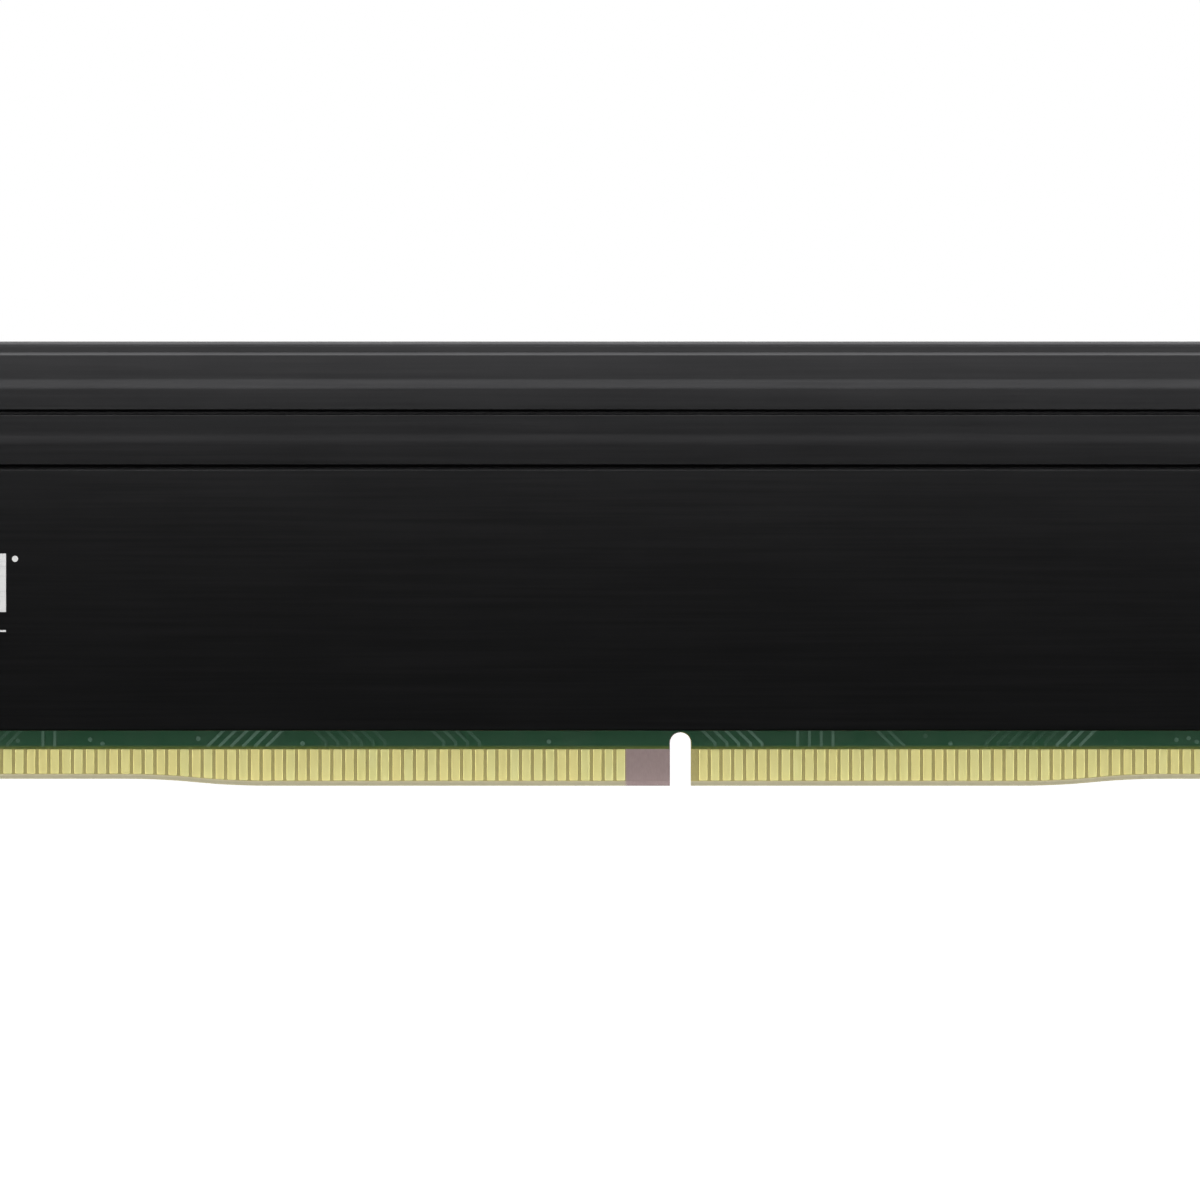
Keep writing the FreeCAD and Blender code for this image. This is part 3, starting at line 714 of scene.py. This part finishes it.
def mask_outline():
    """The lacquered part of the board's face, which stops just above the contacts."""
    low = LONG_ROW[1].z + MASK_ABOVE_CONTACTS
    side = HALF - MASK_PULLBACK
    corners = [
        (-side, low, MASK_FOOT_CORNER),
        *key_corners(MASK_PULLBACK / 2, low),
        (side, low, MASK_FOOT_CORNER),
    ]
    return rounded(corners + upper_corners(MASK_PULLBACK, MASK_CORNER))


def make_mask(place, stand, material):
    """The lacquer on one face, as a thin plate over the laminate."""
    shape = Shape()
    shape.plate(mask_outline(), stand, FACE - MASK, FACE, MASK / 2)
    shape.piece(f"mask_{place}", material)


def ribbon(path, width):
    """The corners of a strip of even width along a path of places."""
    left, right = [], []
    for i, place in enumerate(path):
        before = (place - path[i - 1]).normalized() if i else None
        after = (path[i + 1] - place).normalized() if i + 1 < len(path) else before
        before = before or after
        way = (before + after).normalized()
        side = Vector((way.y, -way.x)) * width / 2 / way.dot(before)
        right.append((*(place + side), 0))
        left.append((*(place - side), 0))
    return right + left[::-1]


def contact_places(row):
    """The middles of a row's contacts along the board."""
    first, last = row[0].x + CONTACT_WIDTH / 2, row[1].x - CONTACT_WIDTH / 2
    count = round((last - first) / CONTACT_PITCH)
    return [first + (last - first) * i / count for i in range(count + 1)]


def make_traces(place, stand, material):
    """Copper under the lacquer: traces that leave the contacts in groups, and plated holes between.

    Groups side by side lean the same way, so that no traces cross."""
    shape = Shape()
    start = LONG_ROW[1].z + TRACE_ABOVE_CONTACTS
    key = MOUNTS["key_notch"].x
    for row in (LONG_ROW, SHORT_ROW):
        contacts = contact_places(row)
        beside = None
        while contacts:
            count = min(len(contacts), random.choice(GROUP_SIZES))
            group, contacts = contacts[:count], contacts[count:]
            lean = random.choice((-1, -1, 0, 1))
            bend = start + random.uniform(*TRACE_STUBS)
            tone = random.uniform(*TRACE_TONES)
            plain = random.random() < PLAIN_SHARE or beside not in (None, lean)
            beside = None if plain else lean
            for across in group:
                if plain or abs(across - key) < KEY_CLEARANCE:
                    shape_via(shape, stand, across, start, tone)
                    continue
                path = [Vector((across, start)), Vector((across, bend))]
                path.append(Vector((across + lean * (TRACE_TOP - bend), TRACE_TOP)))
                shape_copper(shape, stand, rounded(ribbon(path, TRACE_WIDTH)), tone)
    shape.piece(f"traces_{place}", material)


def shape_via(shape, stand, across, start, tone):
    """A plated hole above a contact, on some of those that join a plane."""
    if random.random() < 1 - VIA_SHARE:
        return
    up = start + VIA_RADIUS + random.uniform(*VIA_LIFTS)
    ring = disc(across + random.uniform(-VIA_STRAY, VIA_STRAY), up, VIA_RADIUS)
    shape_copper(shape, stand, ring, tone)


def shape_copper(shape, stand, outline, tone):
    """Copper that lifts the lacquer a little over it."""
    shape.plate(outline, stand, FACE - MASK / 2, FACE + TRACE_RISE, TRACE_RISE / 2, tone)


def make_contacts(place, stand, material):
    """The gold contacts of one face, each a thin plate with soft rims."""
    rows = (("long_row", LONG_ROW), ("short_row", SHORT_ROW))
    for name, row in rows:
        shape = Shape()
        top = row[1].z
        for across in contact_places(row):
            left, right = across - CONTACT_WIDTH / 2, across + CONTACT_WIDTH / 2
            corners = [
                (left, edge_height(left) + CONTACT_GAP, CONTACT_CORNER),
                (right, edge_height(right) + CONTACT_GAP, CONTACT_CORNER),
                (right, top, CONTACT_CORNER),
                (left, top, CONTACT_CORNER),
            ]
            outline = rounded(corners, 3)
            out = -row[0].y
            shape.plate(outline, stand, FACE - 2 * MASK, out, CONTACT_RIM, random.random())
        pads = shape.piece(f"pads_{place}_{name}", material)
        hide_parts(f"contacts_{place}_{name}")


# ---- Label ---------------------------------------------------------------------------------------


def make_label_print(material):
    """Plain ruled lines on the film: a border, and rules that start at its left as seen from behind."""
    low, high = span("rear_label")
    out = high.y
    left, foot = low.x + LABEL_BORDER, low.z + LABEL_BORDER
    right, top = high.x - LABEL_BORDER, high.z - LABEL_BORDER
    line, start = LABEL_LINE, right - LABEL_INDENT
    boxes = [
        (left, foot, right, foot + line),
        (left, top - line, right, top),
        (left, foot + line, left + line, top - line),
        (right - line, foot + line, right, top - line),
    ]
    for share in (0.3, 0.5, 0.7):
        level = foot + (top - foot) * share
        length = (right - left) * (0.9 - share / 2)
        boxes.append((start - length, level, start, level + line))
    shape = Shape()
    for box in boxes:
        outline = rounded(box_corners(*box, LABEL_LINE_CORNER), 3)
        shape.plate(outline, rear, out - LABEL_INK_SINK, out + LABEL_INK_RISE, LABEL_INK_RIM)
    shape.piece("label_print", material)


# ---- The whole module ----------------------------------------------------------------------------

FINISHES = {
    "anodised_aluminium": anodised_aluminium(),
    "solder_mask": solder_mask(),
    "gold_contact": gold_contact(),
    "black_mould": black_mould(),
    "chip_laminate": chip_laminate(),
    "solder": solder(),
    "tinned_metal": tinned_metal(),
    "resistor_body": resistor_body(),
    "capacitor_ceramic": capacitor_ceramic(),
    "thermal_pad": thermal_pad(),
    "label_film": label_film(),
    "white_ink": ink("white_ink", (0.28, 0.28, 0.28), (0.33, 0.33, 0.326)),
}

for part in frame["record"]["subparts"]:
    node = frame["nodes"][part["node"]]
    node.data.materials.clear()
    node.data.materials.append(FINISHES[part["material_slot"]])

make_board(laminate())
for place, stand, section_stand in (("front", front, front_section), ("rear", rear, rear_section)):
    make_mask(place, stand, FINISHES["solder_mask"])
    make_traces(place, stand, FINISHES["solder_mask"])
    make_contacts(place, stand, FINISHES["gold_contact"])
    make_spreader(place, section_stand, FINISHES["anodised_aluminium"])
make_label_print(ink("grey_ink", (0.16, 0.16, 0.17), (0.05, 0.05, 0.055)))


# ---- Studio --------------------------------------------------------------------------------------

FLOOR_LEVEL = -0.04
VIEW_WIDTH = 0.0865
VIEW_CENTRE = Vector((-0.00022, -0.0007, 0.0134))
LENS = 400
SENSOR = 36


def make_floor():
    """A wide pale floor, faintly clouded, that looks brighter than the light it throws back up."""
    finish = Finish("floor", Roughness=0.8)
    clouds = finish.noise(0.002, 0.002, 0.002)
    finish.put("Base Color", finish.blend(clouds, (0.88, 0.88, 0.88), (0.92, 0.92, 0.92)))
    finish.put("Emission Color", (1, 1, 1, 1))
    seen = finish.node("ShaderNodeLightPath").outputs["Is Camera Ray"]
    finish.put("Emission Strength", finish.ramp(seen, 0.0, 1.0, 0.5, 1.0))
    work = bmesh.new()
    bmesh.ops.create_grid(work, x_segments=8, y_segments=8, size=12)
    mesh = bpy.data.meshes.new("floor")
    work.to_mesh(mesh)
    work.free()
    mesh.materials.append(finish.material)
    floor = bpy.data.objects.new("floor", mesh)
    floor.location.z = FLOOR_LEVEL
    floor.visible_glossy = False
    bpy.context.scene.collection.objects.link(floor)


def make_softbox(name, place, target, width, height, watts):
    """A soft rectangular light, in metres and watts, that the camera doesn't see."""
    light = bpy.data.lights.new(name, "AREA")
    light.shape = "RECTANGLE"
    light.size, light.size_y, light.energy = width, height, watts
    softbox = bpy.data.objects.new(name, light)
    softbox.location = place
    softbox.rotation_euler = (Vector(target) - Vector(place)).to_track_quat("-Z", "Y").to_euler()
    softbox.visible_camera = False
    bpy.context.scene.collection.objects.link(softbox)


def make_lights():
    """Each face gets a narrow strip close by, just above the top edge, a softbox high up and one at
    each hand; one more softbox hangs overhead."""
    for side, name in ((-1, "front"), (1, "rear")):
        close = (-0.02, side * 0.025, 0.0365)
        make_softbox(f"strip_{name}", close, (-0.02, 0, 0.02), 0.30, 0.008, 0.034)
        make_softbox(f"high_{name}", (0, side * 0.25, 0.45), (0, 0, 0.01), 0.4, 0.3, 0.75)
        for way, hand in ((-1, "left"), (1, "right")):
            place = (way * 0.40, side * 0.28, 0.02)
            make_softbox(f"side_{name}_{hand}", place, (0, 0, 0.012), 0.25, 0.35, 1.5)
    make_softbox("overhead", (0, 0, 0.7), (0, 0, 0), 0.6, 0.6, 6.4)


def make_world():
    """White where the camera looks past the object; elsewhere a soft sky, dark at the horizon."""
    world = bpy.data.worlds.new("studio")
    world.use_nodes = True
    tree = world.node_tree
    tree.nodes.clear()
    place = tree.nodes.new("ShaderNodeTexCoord")
    split = tree.nodes.new("ShaderNodeSeparateXYZ")
    rise = tree.nodes.new("ShaderNodeMapRange")
    sky = tree.nodes.new("ShaderNodeBackground")
    seen = tree.nodes.new("ShaderNodeBackground")
    path = tree.nodes.new("ShaderNodeLightPath")
    mix = tree.nodes.new("ShaderNodeMixShader")
    out = tree.nodes.new("ShaderNodeOutputWorld")
    for socket, number in zip(rise.inputs[1:5], (0.3, 1.0, 0.01, 0.2)):
        socket.default_value = number
    seen.inputs["Color"].default_value = (1, 1, 1, 1)
    tree.links.new(place.outputs["Generated"], split.inputs[0])
    tree.links.new(split.outputs["Z"], rise.inputs[0])
    tree.links.new(rise.outputs[0], sky.inputs["Strength"])
    sky.inputs["Color"].default_value = (1, 1, 1, 1)
    tree.links.new(path.outputs["Is Camera Ray"], mix.inputs[0])
    tree.links.new(sky.outputs[0], mix.inputs[1])
    tree.links.new(seen.outputs[0], mix.inputs[2])
    tree.links.new(mix.outputs[0], out.inputs[0])
    bpy.context.scene.world = world


def make_camera():
    """Level and square to the front, far enough back to show almost no perspective."""
    data = bpy.data.cameras.new("camera")
    data.lens, data.sensor_width = LENS, SENSOR
    camera = bpy.data.objects.new("camera", data)
    distance = VIEW_WIDTH * LENS / SENSOR
    camera.location = VIEW_CENTRE - Vector((0, distance, 0))
    camera.rotation_euler = (math.pi / 2, 0, 0)
    bpy.context.scene.collection.objects.link(camera)
    bpy.context.scene.camera = camera


make_floor()
make_lights()
make_world()
make_camera()
bpy.context.scene.view_settings.view_transform = "Standard"
